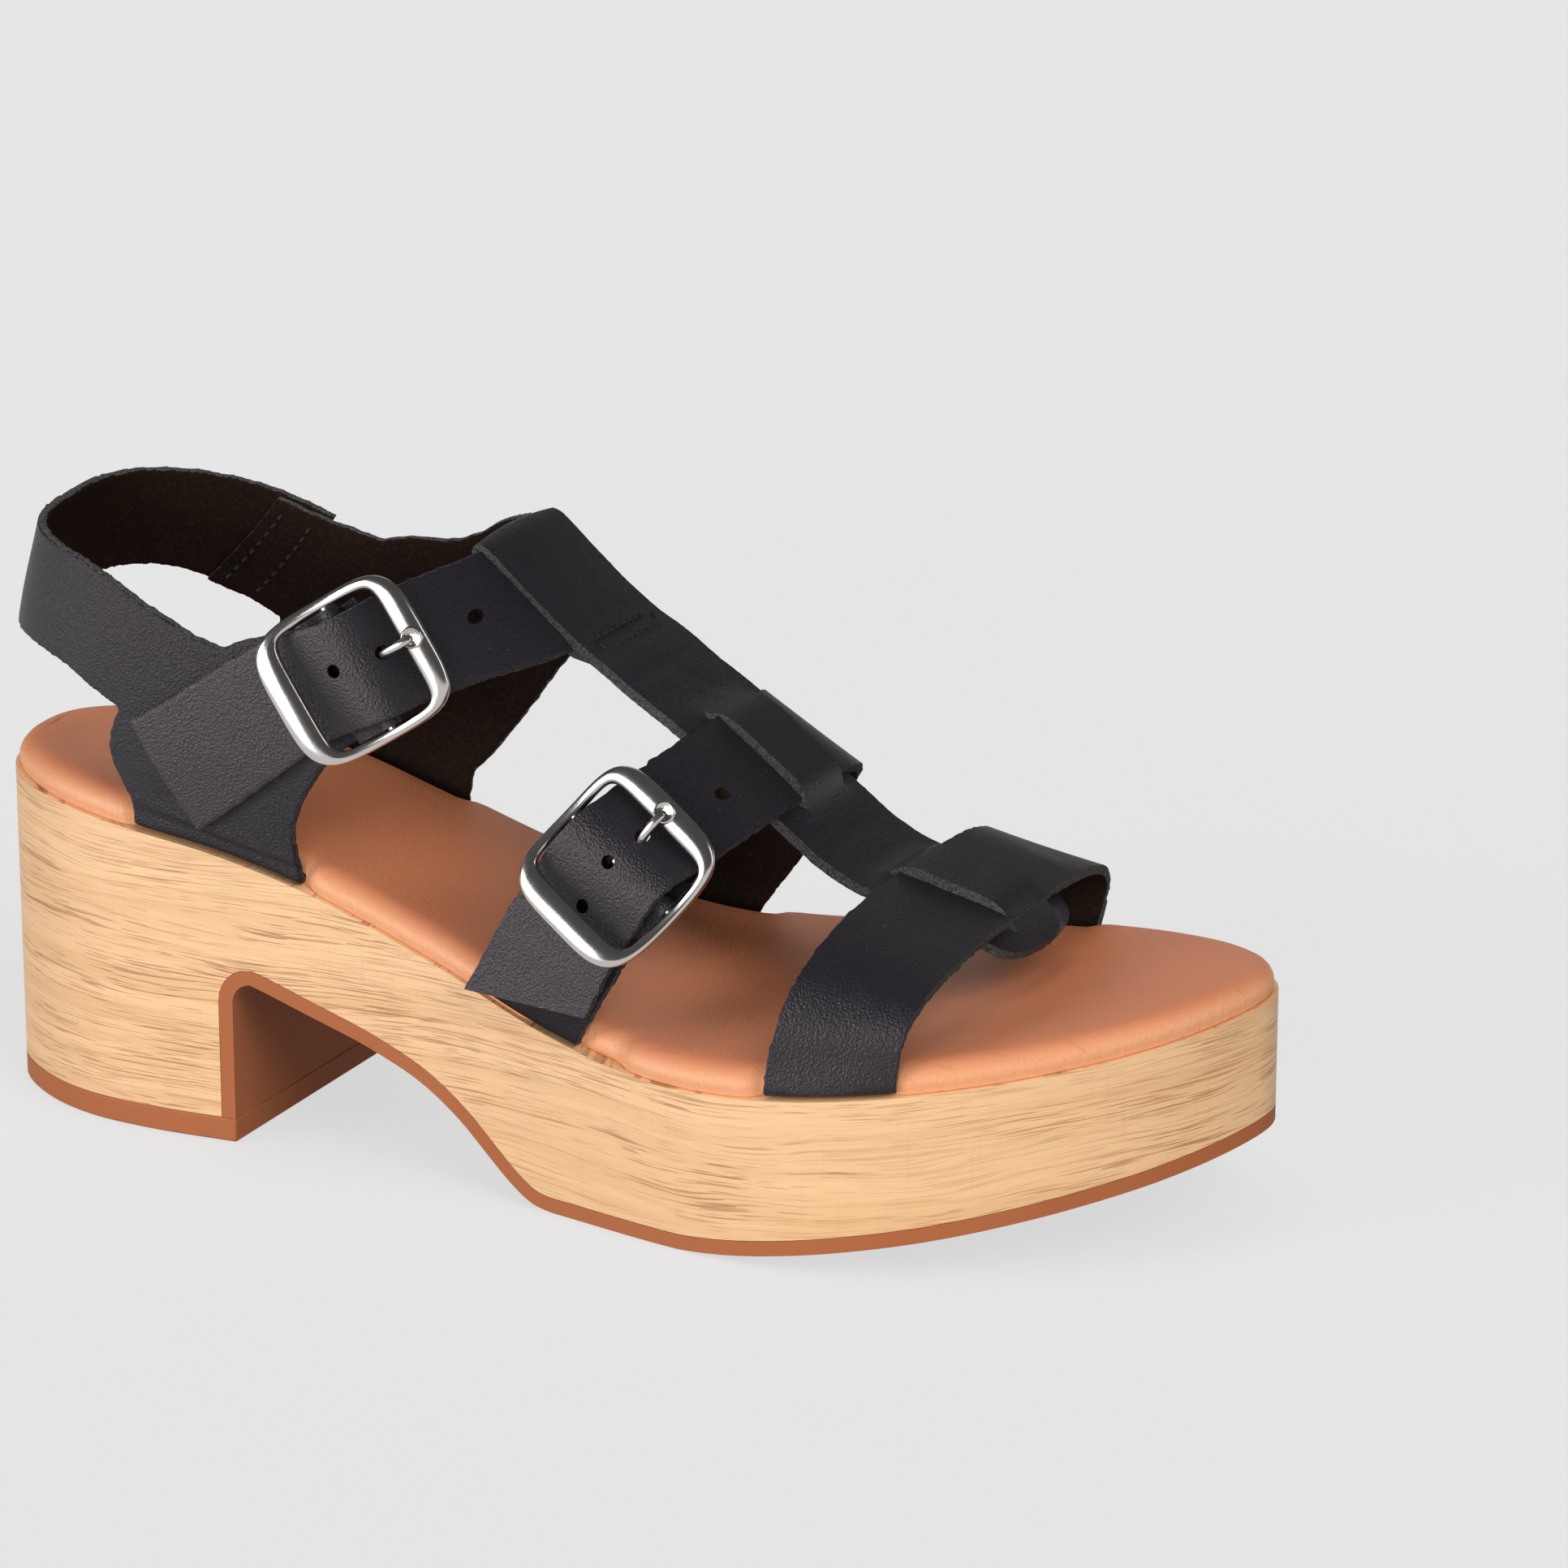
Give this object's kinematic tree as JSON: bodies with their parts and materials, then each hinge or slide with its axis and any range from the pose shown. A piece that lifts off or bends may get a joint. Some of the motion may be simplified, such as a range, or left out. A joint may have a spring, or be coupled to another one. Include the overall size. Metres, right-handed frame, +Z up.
{
  "type": "heeled sandal",
  "caption": "Right heeled sandal: wood platform sole with block heel, rubber outsole, padded insole, and crossing leather straps fastened by buckles over toes, instep and ankle.",
  "frame": {"origin": "middle of the shoe's box, on the floor under the sole", "axes": "+X towards the toe, +Y towards the inner side of the foot, +Z up"},
  "size_m": [0.246, 0.092, 0.1152],
  "materials": {
    "wood": "fine oiled light wood, satin",
    "sheet_rubber": "matte brown sheet rubber",
    "tan_leather": "smooth tan leather, padded",
    "black_leather": "black leather with a fine grain and a soft sheen",
    "nickel": "polished nickel"
  },
  "bodies": {
    "root": {"sole_block": "wood", "outsole": "sheet_rubber", "heel_top_piece": "sheet_rubber", "insole": "tan_leather", "upper": "black_leather", "ankle_buckle": "nickel", "ankle_prong": "nickel", "instep_buckle": "nickel", "instep_prong": "nickel"}
  },
  "joints": []
}
